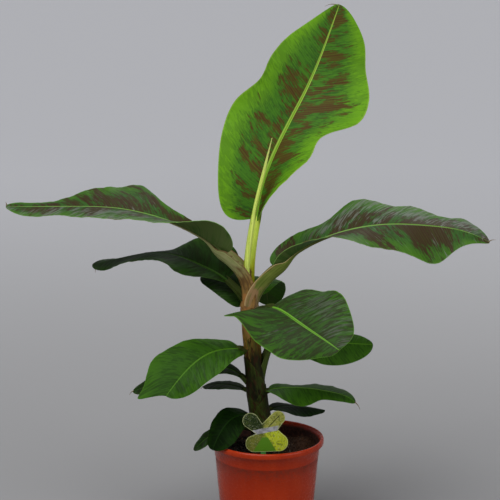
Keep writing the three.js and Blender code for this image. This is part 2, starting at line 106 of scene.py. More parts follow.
# Most leaves take the "shaded" tone, whose darker green is painted shade.
PLAIN_LEAF = {
    "offset": (0, 0), "fold": ([10, 5, 5], [10, 5, 5]), "curl": ([15], [15]), "wide": ([1], [1]),
    "lobe": (0.03, 0.03), "tip": (0, 0), "wave": (0, 3), "blunt": 2.3, "tone": "shaded", "thread": 0,
    "stalk_tone": "dark", "slant": (0.45, 0.45), "bow": (0, 0, 0), "midrib": 1.8, "thread_way": (0, 0, 0),
}

LEAVES = {
    "leaf_upper_right": dict(
        start=436, offset=(3, -4), petiole=89, blade=401, width=165, stalk=(13, 12),
        rise=[66, 47, 27, 13, 0, -8, -32], heading=[-15, -8, -5, -3], roll=[0, 5, 18, 24, 28, 20],
        fold=([60, 25, 10, 0, -15, -10], [60, 25, 10, 0, -20, -10]),
        curl=([0, 0, 10, 10, 10, 0], [0, 0, 10, 10, 10, 0]),
        wide=([0.8, 0.66, 0.74, 1.12, 0.88, 0.88, 0.62, 1.35, 1.2],
              [0.28, 0.5, 0.74, 0.84, 0.88, 1, 0.96, 0.52, 0.35]),
        lobe=(0.05, 0.05), wave=(4, 3), tone="patched", thread=15, thread_way=(1, 0, 0.75),
        stalk_tone="olive", bow=(-5, 0, 4), midrib=2.8,
    ),
    "leaf_upper_left": dict(
        start=436, offset=(-3, -1), petiole=109, blade=408, width=170, stalk=(15, 13),
        rise=[88, 46, 27, 15, 3, 0, 2], heading=[185, 184, 183, 182], roll=[-10, -14, -14, -14],
        fold=([60, 50, 32, 18, 16, 16, 6, 2, 0], [50, 35, 14, 12, 8, 10]),
        curl=([0, 0, 10, 10, 10, 0], [0, 0, 20, 10, 10, 0]),
        wide=([1, 1.05, 0.8, 0.9, 0.9, 0.85, 0.55, 0.6, 0.6],
              [0.3, 0.32, 0.34, 0.55, 1.35, 0.95, 0.72, 0.45, 0.32, 0.27, 0.3]),
        wave=(4, 3), blunt=2.4, tone="patched", thread=11, thread_way=(-0.3, 0, 1),
        stalk_tone="pale", bow=(7, 0, 6), midrib=2.8,
    ),
    "leaf_top": dict(
        start=445, offset=(4, 8), petiole=150, blade=424, width=184, stalk=(10.5, 9.5),
        rise=[88, 80, 62, 56, 64, 68], heading=[60, 50, 38, 35, 33, 30], roll=[30, 40, 52, 62, 66],
        fold=([12, 10, 8, 5], [60, 35, 12, 8]),
        curl=([0], [-30, 0, 0, 0]),
        wide=([1.4, 1.18, 1.2, 1.16, 0.92, 0.94, 0.84, 0.6, 0.35],
              [0.9, 1.1, 1.04, 0.86, 1.28, 1.25, 1.02, 0.95, 0.7]),
        lobe=(0.05, 0.04), wave=(6, 2), blunt=2.6, tone="bright", thread=27, thread_way=(-1, 0, 0.3),
        stalk_tone="bright", bow=(-6, 0, 0), midrib=4.2,
    ),
    "leaf_middle_front": dict(
        start=379, petiole=110, blade=168, width=150, stalk=(10, 7),
        rise=[80, 10, -16, -20, -21, -25], heading=[-76, -54, -46, -41, -38], roll=[5, 23, 45, 52, 52],
        fold=([24, 14, 9, 5, 0], [12, 8, 5, 0]),
        curl=([20], [20]),
        wide=([1.4, 1.22, 1.12, 1.12, 1.12, 1.1, 1.03, 0.94, 0.9],
              [2.5, 1.5, 1.17, 1, 0.93, 0.78, 0.63, 0.5, 0.5]),
        lobe=(0.08, 0.27), tip=(0.05, 0), wave=(3, 2), blunt=2.6, tone="flecked",
        slant=(0.45, -0.5), midrib=3,
    ),
    "leaf_middle_left": dict(
        start=428, petiole=70, blade=266, width=110, stalk=(8, 6),
        rise=[62, 40, 24, 22, 8, -5, -14, -15, -14], heading=[165, 168, 168, 170],
        roll=[-35, -30, -24, -8, 0, 0, -2, -5],
        fold=([20, 10, 5, 0, 0, -6, -8, -8], [25, 12, 4, -2, -4, -8, -5, 0]),
        curl=([0, 5, 5, 5], [0, 5, 5, 5]),
        wide=([0.5, 0.75, 0.95, 0.9, 0.9, 0.95, 1, 1], [1.9, 1.75, 1.4, 0.95, 0.85, 0.9, 0.95, 1]),
        wave=(3, 3), thread=13, thread_way=(0.25, 0, -1), midrib=2.4,
    ),
    "leaf_middle_left_back": dict(
        start=405, petiole=35, blade=112, width=74, stalk=(5, 3.5),
        rise=[55, 55, 40, 14, -10], heading=[135, 140, 145], roll=[-15, -20, -20],
        curl=([20], [10]), stalk_tone="pale",
        wide=([0.9], [0.45, 0.85, 1]),
    ),
    "leaf_middle_back": dict(
        start=403, petiole=60, blade=160, width=80, stalk=(7, 5),
        rise=[62, 44, 12, -28, -55, -65], heading=[66, 77, 82], roll=[0, 5, 5], tone="green",
        curl=([20], [20]),
        wide=([0.5, 0.8, 0.9], [1]),
    ),
    "leaf_middle_right": dict(
        start=285, offset=(4, 0), petiole=88, blade=200, width=96, stalk=(10, 6),
        rise=[82, 60, -12, -16, -8, -4], heading=[-10, 6, 10, 10], roll=[20, 40, 45],
        fold=([10, 0, 0], [10, 0, 0]),
        curl=([20], [20]),
        wide=([1, 1, 0.9, 0.7, 0.7], [1, 1.05, 1.05, 0.98, 0.9]),
        blunt=1.8, tone="green",
    ),
    "leaf_lower_left_front": dict(
        start=338, petiole=38, blade=174, width=118, stalk=(8, 6),
        rise=[60, 14, -4, -28, -42, -48], heading=[205, 210, 212, 213], roll=[-15, -30, -40, -42],
        fold=([12, 8, 5, 0], [12, 8, 5, 0]),
        wide=([0.7, 0.75, 0.78, 0.72, 0.66, 0.6], [0.65, 0.63, 0.68, 0.76, 0.86, 1.0, 1.15, 1.0, 1.6]),
        lobe=(0.05, 0.05), tip=(0, 0.21), wave=(3, 2), blunt=3, tone="green", midrib=1.5,
    ),
    "leaf_lower_left": dict(
        start=272, petiole=44, blade=213, width=60, stalk=(8, 5),
        rise=[55, 42, -2, -16, -23, -22], heading=[185, 182, 178, 175], roll=[-10, -20, -20],
        thread=10,
    ),
    "leaf_lower_left_back": dict(
        start=266, petiole=30, blade=80, width=46, stalk=(6, 4),
        rise=[32, 16, 4, -8, -20], heading=[160, 160, 165], roll=[0, -5, -5],
        thread=8,
    ),
    "leaf_lower_right": dict(
        start=268, petiole=23, blade=167, width=95, stalk=(8, 5),
        rise=[35, 22, 6, -1, -8, -14, -45], heading=[-15, -12, -10, -8], roll=[0, 10, 12, 12],
        fold=([20, -12, -10, -8, -2], [20, -15, -27, -25]),
        wide=([1, 1, 0.9], [1, 1.02, 0.85, 0.42, 0.38, 0.35]),
        tone="green", thread=14,
    ),
    "leaf_lower_right_back": dict(
        start=232, petiole=24, blade=116, width=66, stalk=(6, 4),
        rise=[30, 10, -8, -14, -18], heading=[25, 25, 28], roll=[0, 10, 10], tone="dark",
        fold=([10, -10, -15], [10, -10, -15]),
        wide=([1], [1, 1.05, 0.85, 0.6, 0.5]),
    ),
    "leaf_rim_front": dict(
        start=218, petiole=30, blade=112, width=62, stalk=(7, 4),
        rise=[50, 22, -4, -36, -54, -62], heading=[217, 217, 218, 220], roll=[-10, -20, -20], tone="dark",
        wide=([1, 1.15, 1.2], [1, 1.1, 0.95, 0.76, 0.85]),
    ),
    "leaf_rim_left": dict(
        start=203, petiole=50, blade=90, width=38, stalk=(6, 4),
        rise=[12, 3, -13, -28, -40, -46], heading=[190, 192, 192], roll=[0, -10, -10],
    ),
}

LOBE_SPAN = 0.25  # share of the blade that a base corner's backward reach fades over
TIP_SPAN = 0.3  # share of the blade that an end corner's forward reach grows over
CORNER_GAIN = 4  # the reach of a corner is greatest where the blade is still narrow
FORWARD_SWEEP = 0.04  # share of the blade's length that the margin lies ahead of its midrib
MIDRIB_STEPS = 200
BLADE_THICKNESS = 0.9
LARGE_BLADE = 250  # a longer blade than this gets the finer grid
LARGE_GRID, SMALL_GRID = (72, 260), (44, 130)
THINNEST_HALF = 0.8  # the half width that a blade's ends keep
MARGIN_FACING = 0.35  # a face that faces up or down less than this is on the margin
STALK_FINISH, THREAD_FINISH = 3, 4  # after the blade's own three
STALK_REACH = 0.985  # share of the leaf's length at which the midrib under the blade ends
STALK_OUTSIDE = 0.6  # share of the steps round a stalk that are on its outer side


# ---- Small helpers ----

def lerp(a, b, share):
    return a + (b - a) * share


def clamp(value, low=0.0, high=1.0):
    return max(low, min(high, value))


def smooth(edge0, edge1, value):
    """A smooth step from 0 at edge0 to 1 at edge1."""
    x = clamp((value - edge0) / (edge1 - edge0))
    return x * x * (3 - 2 * x)


def along(values, f):
    """The value at fraction f of a list of evenly spaced values, on a smooth curve through them."""
    last = len(values) - 1
    if last < 1:
        return values[0]
    place = clamp(f) * last
    i = min(int(place), last - 1)
    u = place - i
    before = values[i - 1] if i > 0 else 2 * values[0] - values[1]
    after = values[i + 2] if i + 2 <= last else 2 * values[last] - values[last - 1]
    b, c = values[i], values[i + 1]
    quadratic = 2 * before - 5 * b + 4 * c - after
    cubic = 3 * b - before - 3 * c + after
    return 0.5 * (2 * b + (c - before) * u + quadratic * u**2 + cubic * u**3)


def between(x, xs, ys):
    """The value at x on straight lines between the points (xs, ys)."""
    i = 1
    while i < len(xs) - 1 and xs[i] < x:
        i += 1
    return lerp(ys[i - 1], ys[i], clamp((x - xs[i - 1]) / (xs[i] - xs[i - 1])))


def ring(turn):
    """The level direction at an angle round the Z axis."""
    return Vector((math.cos(turn), math.sin(turn), 0))


def stem_axis(z):
    return Vector((between(z, STEM_Z, STEM_X), 0, z))


def stem_radius(z):
    return between(z, STEM_Z, STEM_RADIUS)


def pot_radius(z):
    """The pot wall's outer radius at a height, from the foot to the neck."""
    return lerp(POT["foot_radius"], POT["neck_radius"], z / NECK_HEIGHT)


# ---- The leaf rule ----

class Leaf:
    """One leaf's midrib and the surface on both sides of it, in millimetres."""

    def __init__(self, name, seed):
        self.name = name
        self.seed = seed
        self.__dict__.update({**PLAIN_LEAF, **LEAVES[name]})
        self.length = self.petiole + self.blade
        self.steps = self.walk()

    def steer(self, values, f):
        share = self.petiole / self.length
        spans = len(values) - 2
        knot = f / share if f < share else 1 + (f - share) / (1 - share) * spans
        return math.radians(along(values, knot / (len(values) - 1)))

    def direction(self, f):
        rise, heading = self.steer(self.rise, f), self.steer(self.heading, f)
        level = math.cos(rise)
        return Vector((level * math.cos(heading), level * math.sin(heading), math.sin(rise)))

    def walk(self):
        """Points, directions and headings along the midrib."""
        point = stem_axis(self.start) + Vector((*self.offset, 0))
        steps = [(point, self.direction(0), self.steer(self.heading, 0))]
        for k in range(1, MIDRIB_STEPS + 1):
            f = k / MIDRIB_STEPS
            ahead = self.direction(f)
            point = point + (steps[-1][1] + ahead) * (self.length / MIDRIB_STEPS / 2)
            steps.append((point, ahead, self.steer(self.heading, f)))
        return steps

    def frame_at(self, s):
        """The midrib's place and its directions ahead, left and up, s millimetres along it."""
        place = clamp(s / self.length) * MIDRIB_STEPS
        k = min(int(place), MIDRIB_STEPS - 1)
        here, there = self.steps[k], self.steps[k + 1]
        share = place - k
        ahead = here[1].lerp(there[1], share).normalized()
        heading = lerp(here[2], there[2], share)
        left = Vector((-math.sin(heading), math.cos(heading), 0))
        roll = math.radians(along(self.roll, (s - self.petiole) / self.blade))
        left = Matrix.Rotation(roll, 3, ahead) @ left
        point = here[0].lerp(there[0], share) + ahead * max(0.0, s - self.length)
        point += Vector(self.bow) * math.sin(math.pi * clamp(s / self.petiole) ** 0.7)
        return point, ahead, left, ahead.cross(left)

    def outline(self, t):
        """The blade's outline at t as a share of its full width, before either half's own share."""
        return math.sqrt(max(0.0, 1 - abs(2 * t - 1) ** self.blunt))

    def half_width(self, t, side):
        return self.width / 2 * self.outline(t) * along(self.wide[side], t)

    def rib(self, t):
        """Half the midrib's width."""
        return self.midrib * (1 - t) ** 0.7 + 0.4

    def surface(self, t, side, q, width):
        """The blade's middle surface and its normal. t runs along the blade, q from midrib to margin."""
        out = q * self.outline(t)
        back = self.lobe[side] * max(0.0, 1 - t / LOBE_SPAN) ** 2 * out**1.3
        onward = self.tip[side] * max(0.0, (t - 1) / TIP_SPAN + 1) ** 2 * out**1.5
        forward = FORWARD_SWEEP * q**2 * math.sin(math.pi * t)
        s = self.petiole + self.blade * (t + forward + CORNER_GAIN * (onward - back))
        point, ahead, left, up = self.frame_at(max(s, self.petiole))
        point += ahead * min(0.0, s - self.petiole)
        here = clamp((s - self.petiole) / self.blade)
        fold = math.radians(along(self.fold[side], here))
        curl = math.radians(along(self.curl[side], here)) or 1e-3
        slope = fold - curl * q
        height, count = self.wave
        swing = math.sin(2 * math.pi * count * here + side * math.pi / 2)
        lift = height * q**2 * math.sqrt(math.sin(math.pi * here)) * swing
        lift += self.pleats(s, here, side, q, width)
        across = width / curl * (math.sin(fold) - math.sin(slope)) - math.sin(slope) * lift
        rise = width / curl * (math.cos(slope) - math.cos(fold)) + math.cos(slope) * lift
        outward = 1 if side == 0 else -1
        normal = left * (-outward * math.sin(slope)) + up * math.cos(slope)
        return point + left * (outward * across) + up * rise, normal

    def pleats(self, s, here, side, q, width):
        """The small lift of the side veins' pleats, the margin's frill and the midrib's groove."""
        distance = q * width
        root = s - self.slant[side] * distance
        fade = math.sqrt(math.sin(math.pi * here))
        wander = noise.noise(Vector((root / 22, side * 7 + self.seed, distance / 90)))
        pleat = 0.16 * math.sin(root / 1.7 + 3 * wander) * smooth(0, 12, distance) * fade
        frill = 1.8 * q**4 * noise.noise(Vector((s / 13, side * 5.5, self.seed * 3.1))) * fade
        buckle = 2.2 * q * noise.noise(Vector((s / 45, distance / 40, self.seed + side * 9))) * fade
        groove = -0.55 * self.rib(here) * max(0.0, 1 - (distance / self.rib(here)) ** 2)
        return pleat + frill + buckle + groove


# ---- Mesh helpers ----

def grid_sheet(columns, rows, rule, *marks):
    """A grid whose vertices are moved by rule(u, v), with u across and v along, both 0 to 1.

    The rule gives a vertex's place, and then a vector for each of the attributes named in marks."""
    bm = bmesh.new()
    bmesh.ops.create_grid(bm, x_segments=columns, y_segments=rows, size=1)
    layers = [bm.verts.layers.float_vector.new(name) for name in marks]
    for vert in bm.verts:
        place, *values = rule((vert.co.x + 1) / 2, (vert.co.y + 1) / 2)
        for layer, value in zip(layers, values):
            vert[layer] = value
        vert.co = place
    return bm


def face_out(bm):
    bmesh.ops.recalc_face_normals(bm, faces=bm.faces)


def close_tube(bm):
    """Joins the first and last columns of a sheet that is wrapped round, and closes its two ends."""
    bmesh.ops.remove_doubles(bm, verts=bm.verts, dist=1e-3)
    bmesh.ops.holes_fill(bm, edges=[edge for edge in bm.edges if edge.is_boundary], sides=0)
    face_out(bm)
    return bm


def set_material(bm, index):
    for face in bm.faces:
        face.material_index = index


def add_object(name, data):
    thing = bpy.data.objects.new(name, data)
    bpy.context.scene.collection.objects.link(thing)
    return thing


def finish_piece(name, meshes, materials, node=None, sharp=None):
    """One object from one or more bmeshes in millimetres. It rides on the body and may replace a node."""
    mesh = bpy.data.meshes.new(name)
    whole = bmesh.new()
    for bm in meshes:
        bmesh.ops.scale(bm, vec=(MM, MM, MM), verts=bm.verts)
        part = bpy.data.meshes.new("part")
        bm.to_mesh(part)
        bm.free()
        whole.from_mesh(part)
        bpy.data.meshes.remove(part)
    whole.to_mesh(mesh)
    whole.free()
    for material in materials:
        mesh.materials.append(material)
    mesh.shade_smooth()
    if sharp:
        mesh.set_sharp_from_angle(angle=math.radians(sharp))
    piece = add_object(name, mesh)
    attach(piece, "root")
    if node:
        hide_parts(node)
    return piece


# ---- Shader helpers ----

class Wire:
    """A node's output that arithmetic signs work on."""

    def __init__(self, finish, socket):
        self.finish = finish
        self.socket = socket

    def maths(self, operation, *others):
        return self.finish.add("Math", dict(enumerate((self, *others))), operation=operation)

    def __rsub__(self, other):
        return self.finish.add("Math", {0: other, 1: self}, operation="SUBTRACT")

    __add__ = __radd__ = partialmethod(maths, "ADD")
    __mul__ = __rmul__ = partialmethod(maths, "MULTIPLY")
    __sub__ = partialmethod(maths, "SUBTRACT")
    __truediv__ = partialmethod(maths, "DIVIDE")
    __abs__ = partialmethod(maths, "ABSOLUTE")


class Finish:
    """A material with one method that adds any node."""

    def __init__(self, name, gloss):
        self.material = bpy.data.materials.new(name)
        self.material.use_nodes = True
        self.tree = self.material.node_tree
        self.shader = self.tree.nodes["Principled BSDF"]
        self.shader.inputs["Specular IOR Level"].default_value = gloss

    def add(self, kind, inputs=None, output=0, **settings):
        node = self.tree.nodes.new("ShaderNode" + kind)
        for key, value in settings.items():
            setattr(node, key, value)
        for key, value in (inputs or {}).items():
            self.fill(node.inputs[key], value)
        return Wire(self, node.outputs[output])

    def fill(self, socket, value):
        if isinstance(value, Wire):
            self.tree.links.new(value.socket, socket)
        elif isinstance(value, tuple) and len(value) == 3 and socket.type == "RGBA":
            socket.default_value = (*value, 1)
        else:
            socket.default_value = value

    def done(self, colour, roughness, relief=None):
        """The material, once its colour, roughness and any bump are wired."""
        self.fill(self.shader.inputs["Base Color"], colour)
        self.fill(self.shader.inputs["Roughness"], roughness)
        if relief:
            self.fill(self.shader.inputs["Normal"], relief)
        return self.material

    def split(self, vector):
        """The three numbers of a vector."""
        parts = self.add("SeparateXYZ", {0: vector})
        return [Wire(self, socket) for socket in parts.socket.node.outputs]

    def join(self, x, y, z):
        return self.add("CombineXYZ", {0: x, 1: y, 2: z})

    def marks(self, name):
        """The three numbers of one of the mesh's own attributes."""
        return self.split(self.add("Attribute", attribute_name=name, output=1))

    def where(self):
        """The place on the object, in metres."""
        return self.add("TexCoord", output=3)

    def noise(self, place, scale=1.0, detail=2.0, roughness=0.5):
        """Noise at a place, which is one vector or three numbers."""
        if isinstance(place, tuple):
            place = self.join(*place)
        inputs = {"Vector": place, "Scale": scale, "Detail": detail, "Roughness": roughness}
        return self.add("TexNoise", inputs)


def mix(mask, colour_a, colour_b):
    """Colour a where the mask is 0 and colour b where it is 1."""
    return mask.finish.add("Mix", {0: mask, 6: colour_a, 7: colour_b}, output=2, data_type="RGBA")


def step(value, low, high, rags=None, share=0.0):
    """0 below low, 1 above high and smooth between them. A share of a noise can make its edge ragged."""
    if rags:
        value = value + (rags - 0.5) * share
    inputs = {"Value": value, "From Min": low, "From Max": high, "To Min": 0.0, "To Max": 1.0}
    return value.finish.add("MapRange", inputs, interpolation_type="SMOOTHSTEP")


def bump(height, strength, distance):
    inputs = {"Height": height, "Strength": strength, "Distance": distance}
    return height.finish.add("Bump", inputs)


# ---- Finishes ----

# Each tone: the blade's green, its margin, its deeper clouds, its patches, how fine they are across and
# along the veins, their level (a higher one means fewer), how clear the margin and the left half stay of
# them, the pale wax bloom with its painted sheen, the midrib, the lower face and the gloss.
LEAF_TONES = {
    # The bright tone is partly the young top leaf's own paler green and partly painted light shining through
    # the blade.
    "bright": dict(
        body=(0.042, 0.14, 0.01), margin=(0.12, 0.3, 0.008), deep=(0.02, 0.07, 0.01),
        patch=(0.066, 0.022, 0.007), grain=(24, 56), level=0.452, strength=0.92, clear=0.22, lean=0.06,
        bloom=0.0, rib=(0.3, 0.46, 0.06), under=(0.16, 0.28, 0.03), roughness=0.5, gloss=0.1,
    ),
    "patched": dict(
        body=(0.03, 0.088, 0.014), margin=(0.05, 0.14, 0.01), deep=(0.017, 0.052, 0.01),
        patch=(0.038, 0.014, 0.009), grain=(17, 40), level=0.43, strength=0.94, clear=0.15, lean=0.02,
        bloom=0.75, rib=(0.15, 0.29, 0.06), under=(0.098, 0.14, 0.04), roughness=0.42, gloss=0.12,
    ),
    "flecked": dict(
        body=(0.03, 0.08, 0.011), margin=(0.034, 0.1, 0.008), deep=(0.017, 0.046, 0.008),
        patch=(0.022, 0.024, 0.009), grain=(40, 190), level=0.48, strength=0.8, clear=0.03, lean=-0.01,
        bloom=0.3, rib=(0.14, 0.34, 0.03), under=(0.03, 0.06, 0.012), roughness=0.44, gloss=0.08,
    ),
    "green": dict(
        body=(0.024, 0.078, 0.004), margin=(0.034, 0.106, 0.004), deep=(0.013, 0.044, 0.003),
        patch=(0.013, 0.034, 0.004), grain=(20, 120), level=0.57, strength=0.5, clear=0.02, lean=0.0,
        bloom=0.06, rib=(0.08, 0.2, 0.014), under=(0.026, 0.055, 0.008), roughness=0.46, gloss=0.06,
    ),
    # The shaded tone is painted shade: the plain green darkened for leaves that hang in shade.
    "shaded": dict(
        body=(0.011, 0.034, 0.004), margin=(0.018, 0.052, 0.004), deep=(0.006, 0.017, 0.002),
        patch=(0.01, 0.012, 0.003), grain=(26, 110), level=0.54, strength=0.5, clear=0.02, lean=0.0,
        bloom=0.08, rib=(0.035, 0.085, 0.012), under=(0.012, 0.028, 0.004), roughness=0.46, gloss=0.05,
    ),
    # The dark tone is painted shade: a near-black copy of the plain green for the low leaves deepest in
    # shade.
    "dark": dict(
        body=(0.003, 0.012, 0.001), margin=(0.006, 0.022, 0.0012), deep=(0.0016, 0.006, 0.0006),
        patch=(0.002, 0.006, 0.001), grain=(26, 110), level=0.56, strength=0.4, clear=0.02, lean=0.0,
        bloom=0.0, rib=(0.006, 0.022, 0.002), under=(0.005, 0.014, 0.001), roughness=0.45, gloss=0.025,
    ),
}


def leaf_finish(tone):
    """The upper face of a blade: fine parallel veins, ragged patches along them and a pale midrib."""
    look = LEAF_TONES[tone]
    finish = Finish(f"leaf_{tone}", look["gloss"])
    across, root, seed = finish.marks("place")
    q, t, rib = finish.marks("share")
    distance, reach = abs(across), abs(q)

    wide, fine = look["grain"]
    rags = finish.noise((across * 95, root * 360, seed), detail=3, roughness=0.6)
    veins = finish.noise((across * 9, root * 900, seed + 3.0), detail=1)
    lines = finish.add("Math", {0: root * 1300 + rags * 2.5}, operation="SINE")
    blotches = finish.noise((across * wide, root * fine, seed), detail=4, roughness=0.58)
    cloud = finish.noise((across * 22, root * 30, seed + 8.0), detail=5, roughness=0.65)

    margin = step(reach, 0.42, 0.92, cloud, 0.8)
    colour = mix(margin, look["body"], look["margin"])
    deep = step(cloud, 0.46, 0.6, rags, 0.7) * (0.85 - margin * 0.5)
    colour = mix(deep, colour, look["deep"])
    kept_off = step(reach, 0.35, 0.95) * look["clear"] + step(q, -0.3, 0.3) * look["lean"]
    ragged = blotches + (rags - 0.5) * 0.55 - kept_off
    level = look["level"]
    colour = mix(step(ragged, level - 0.08, level) * 0.45, colour, look["deep"])
    patch = step(ragged, level, level + 0.035)
    colour = mix(patch * look["strength"], colour, look["patch"])
    colour = mix(step(veins, 0.5, 0.75) * 0.2 + lines * 0.05 + 0.05, colour, look["margin"])
    # The pale grey here is partly the leaves' wax bloom and partly painted sheen, standing in for light
    # glancing off the ribs.
    wax_and_sheen_mask = finish.noise((across * 45, root * 380, seed + 6.0))
    wax_and_sheen_mask = step(wax_and_sheen_mask + (cloud - 0.5) * 0.7 + step(q, -0.2, 0.5) * 0.2, 0.64, 0.84)
    wax_and_sheen_mask = wax_and_sheen_mask * step(t, 0.12, 0.3) * look["bloom"]
    colour = mix(wax_and_sheen_mask, colour, (0.15, 0.17, 0.14))
    colour = mix(step(reach, 0.972, 0.992) * 0.4, colour, look["rib"])
    channel = 1 - step(distance / rib, 0.75, 1.1)
    colour = mix(channel, colour, look["rib"])
    groove = 1 - step(distance / rib, 0.15, 0.55)
    colour = mix(groove * 0.7, colour, look["margin"])

    relief = bump(rags * 0.3 + veins * 0.4 + lines * 0.12, 0.3, 0.0006)
    rough = look["roughness"] + rags * 0.14 - channel * 0.05
    return finish.done(colour, rough, relief)


def leaf_under_finish(tone):
    """The lower face: paler and duller, with the same veins."""
    look = LEAF_TONES[tone]
    finish = Finish(f"leaf_{tone}_under", 0.08)
    across, root, seed = finish.marks("place")
    reach = abs(finish.marks("share")[0])
    veins = finish.noise((across * 9, root * 900, seed + 3.0), detail=1)
    streaks = finish.noise((across * 8, root * 480, seed))
    cloud = finish.noise((across * 14, root * 20, seed + 5.0))
    colour = mix(step(cloud, 0.4, 0.7, streaks, 0.4), look["under"], look["body"])
    colour = mix(step(veins, 0.45, 0.7) * 0.3, colour, look["margin"])
    colour = mix(step(reach, 0.965, 0.99) * 0.5, colour, look["rib"])
    relief = bump(streaks + veins * 0.6, 0.4, 0.0006)
    return finish.done(colour, 0.5 + streaks * 0.12, relief)


# Each stalk tone: its pale middle, its darker ridges, the channel's edges and its thin rim, and the two
# colours of its foot with the height to which they reach.
STALK_TONES = {
    "bright": dict(
        pale=(0.66, 0.76, 0.15), ridge=(0.5, 0.64, 0.08), edge=(0.46, 0.52, 0.06), rim=(0.16, 0.075, 0.015),
        foot=((0.46, 0.48, 0.008), (0.4, 0.44, 0.012)), foot_reach=0.1,
    ),
    "pale": dict(
        pale=(0.34, 0.34, 0.15), ridge=(0.22, 0.25, 0.08), edge=(0.13, 0.055, 0.022), rim=(0.2, 0.11, 0.05),
        foot=((0.1, 0.038, 0.008), (0.27, 0.14, 0.035)), foot_reach=0.09,
    ),
    "olive": dict(
        pale=(0.15, 0.19, 0.035), ridge=(0.09, 0.125, 0.018),
        edge=(0.085, 0.04, 0.016), rim=(0.46, 0.36, 0.16),
        foot=((0.3, 0.17, 0.085), (0.17, 0.14, 0.045)), foot_reach=0.05,
    ),
    "dark": dict(
        pale=(0.062, 0.092, 0.012), ridge=(0.03, 0.048, 0.007),
        edge=(0.022, 0.022, 0.006), rim=(0.07, 0.085, 0.02),
        foot=((0.03, 0.034, 0.008), (0.034, 0.05, 0.008)), foot_reach=0.03,
    ),
}


def leaf_edge_finish(tone):
    """The blade's thin margin: pale, and dry and brown in places."""
    look = LEAF_TONES[tone]
    finish = Finish(f"leaf_{tone}_edge", 0.08)
    where = finish.where()
    place = finish.noise(where, scale=28, detail=3)
    colour = mix(step(place, 0.6, 0.68) * 0.8, look["rib"], (0.12, 0.075, 0.03))
    return finish.done(colour, 0.6 + place * 0.1)


def stalk_finish(tone):
    """Petioles: long fine ridges, browner along the channel's two edges and warmer towards the foot."""
    look = STALK_TONES[tone]
    finish = Finish(f"stalk_{tone}", 0.12)
    turn, run, seed = finish.marks("place")
    ridges = finish.noise((turn * 26, run * 9, seed))
    mottle = finish.noise((turn * 5, run * 45, seed + 4.0), detail=3)
    colour = mix(step(ridges, 0.35, 0.68, mottle, 0.5), look["pale"], look["ridge"])
    brown = step(abs(turn - 0.28), 0.2, 0.34, mottle, 0.25)
    inside = step(turn, 0.62, 0.7)
    colour = mix(brown * (0.85 - inside * 0.6), colour, look["edge"])
    reach = look["foot_reach"]
    foot = 1 - step(run + (mottle - 0.5) * 0.09 + (ridges - 0.5) * 0.04, reach * 0.4, reach)
    tinge = mix(step(mottle, 0.36, 0.62, ridges, 0.8), *look["foot"])
    colour = mix(foot * 0.9, colour, tinge)
    colour = mix(step(0.045 - abs(turn - 0.6), 0.0, 0.02) * 0.85, colour, look["rim"])
    relief = bump(ridges, 0.5, 0.0008)
    return finish.done(colour, 0.42 + mottle * 0.2, relief)


def stem_finish():
    """Wrapped sheaths: long ridges, near black below and orange-brown above, greener below each leaf."""
    finish = Finish("stem_sheaths", 0.07)
    turn, height, seed = finish.marks("place")
    below = finish.marks("share")[0]
    ridges = finish.noise((turn * 34, height * 7, seed), detail=3)
    mottle = finish.noise((turn * 6, height * 28, seed + 2.0), detail=4, roughness=0.6)
    blotches = finish.noise((turn * 9, height * 60, seed + 7.0), detail=3)
    up = step(height, 0.332, 0.385, mottle, 0.1)
    warm = mix(step(mottle, 0.4, 0.62, ridges, 0.7), (0.29, 0.12, 0.02), (0.085, 0.075, 0.014))
    low = mix(step(mottle, 0.44, 0.62, ridges, 0.6), (0.006, 0.0055, 0.0018), (0.026, 0.036, 0.006))
    colour = mix(up, low, warm)
    # Painted shade: each sheath is darkened down its middle, strongly low on the stem and faintly above.
    middle = 1 - step(abs(turn), 0.12, 0.5, mottle, 0.35)
    colour = mix(middle * (0.62 - up * 0.54), colour, (0.016, 0.015, 0.004))
    fresh = (1 - step(below, 0.0, 0.045, mottle, 0.03)) * (1 - up * 0.6)
    colour = mix(fresh * (1 - middle * 0.5) * 0.6, colour, (0.04, 0.062, 0.008))
    colour = mix(step(blotches, 0.52, 0.62) * 0.85, colour, (0.03, 0.011, 0.005))
    colour = mix(step(height, 0.395, 0.44, mottle, 0.04) * 0.6, colour, (0.3, 0.15, 0.055))
    rim = step(abs(turn), 0.955, 0.975)
    colour = mix(rim * (up * 0.65 + 0.12), colour, (0.36, 0.28, 0.14))
    relief = bump(ridges * 0.7 + mottle * 0.3, 0.6, 0.0012)
    return finish.done(colour, 0.45 + mottle * 0.25, relief)


def rolled_leaf_finish():
    """The new leaf: pale yellow-green, with long pleats and a few dark streaks."""
    finish = Finish("new_leaf", 0.15)
    turn, height, seed = finish.marks("place")
    pleats = finish.noise((turn * 16, height * 8, seed))
    streaks = finish.noise((turn * 9, height * 40, seed + 5.0), detail=3)
    colour = mix(step(pleats, 0.38, 0.66), (0.7, 0.8, 0.18), (0.5, 0.64, 0.09))
    colour = mix(step(streaks, 0.6, 0.7) * 0.5, colour, (0.12, 0.09, 0.03))
    tip = step(height, 0.66, 0.735)
    colour = mix(tip * 0.6, colour, (0.42, 0.42, 0.16))
    return finish.done(colour, 0.45, bump(pleats, 0.5, 0.001))


def dry_finish():
    """The dry brown thread at a leaf's tip."""
    finish = Finish("dry_leaf", 0.2)
    where = finish.where()
    grain = finish.noise(where, scale=420)
    colour = mix(step(grain, 0.35, 0.65), (0.1, 0.065, 0.03), (0.26, 0.2, 0.11))
    return finish.done(colour, 0.8)


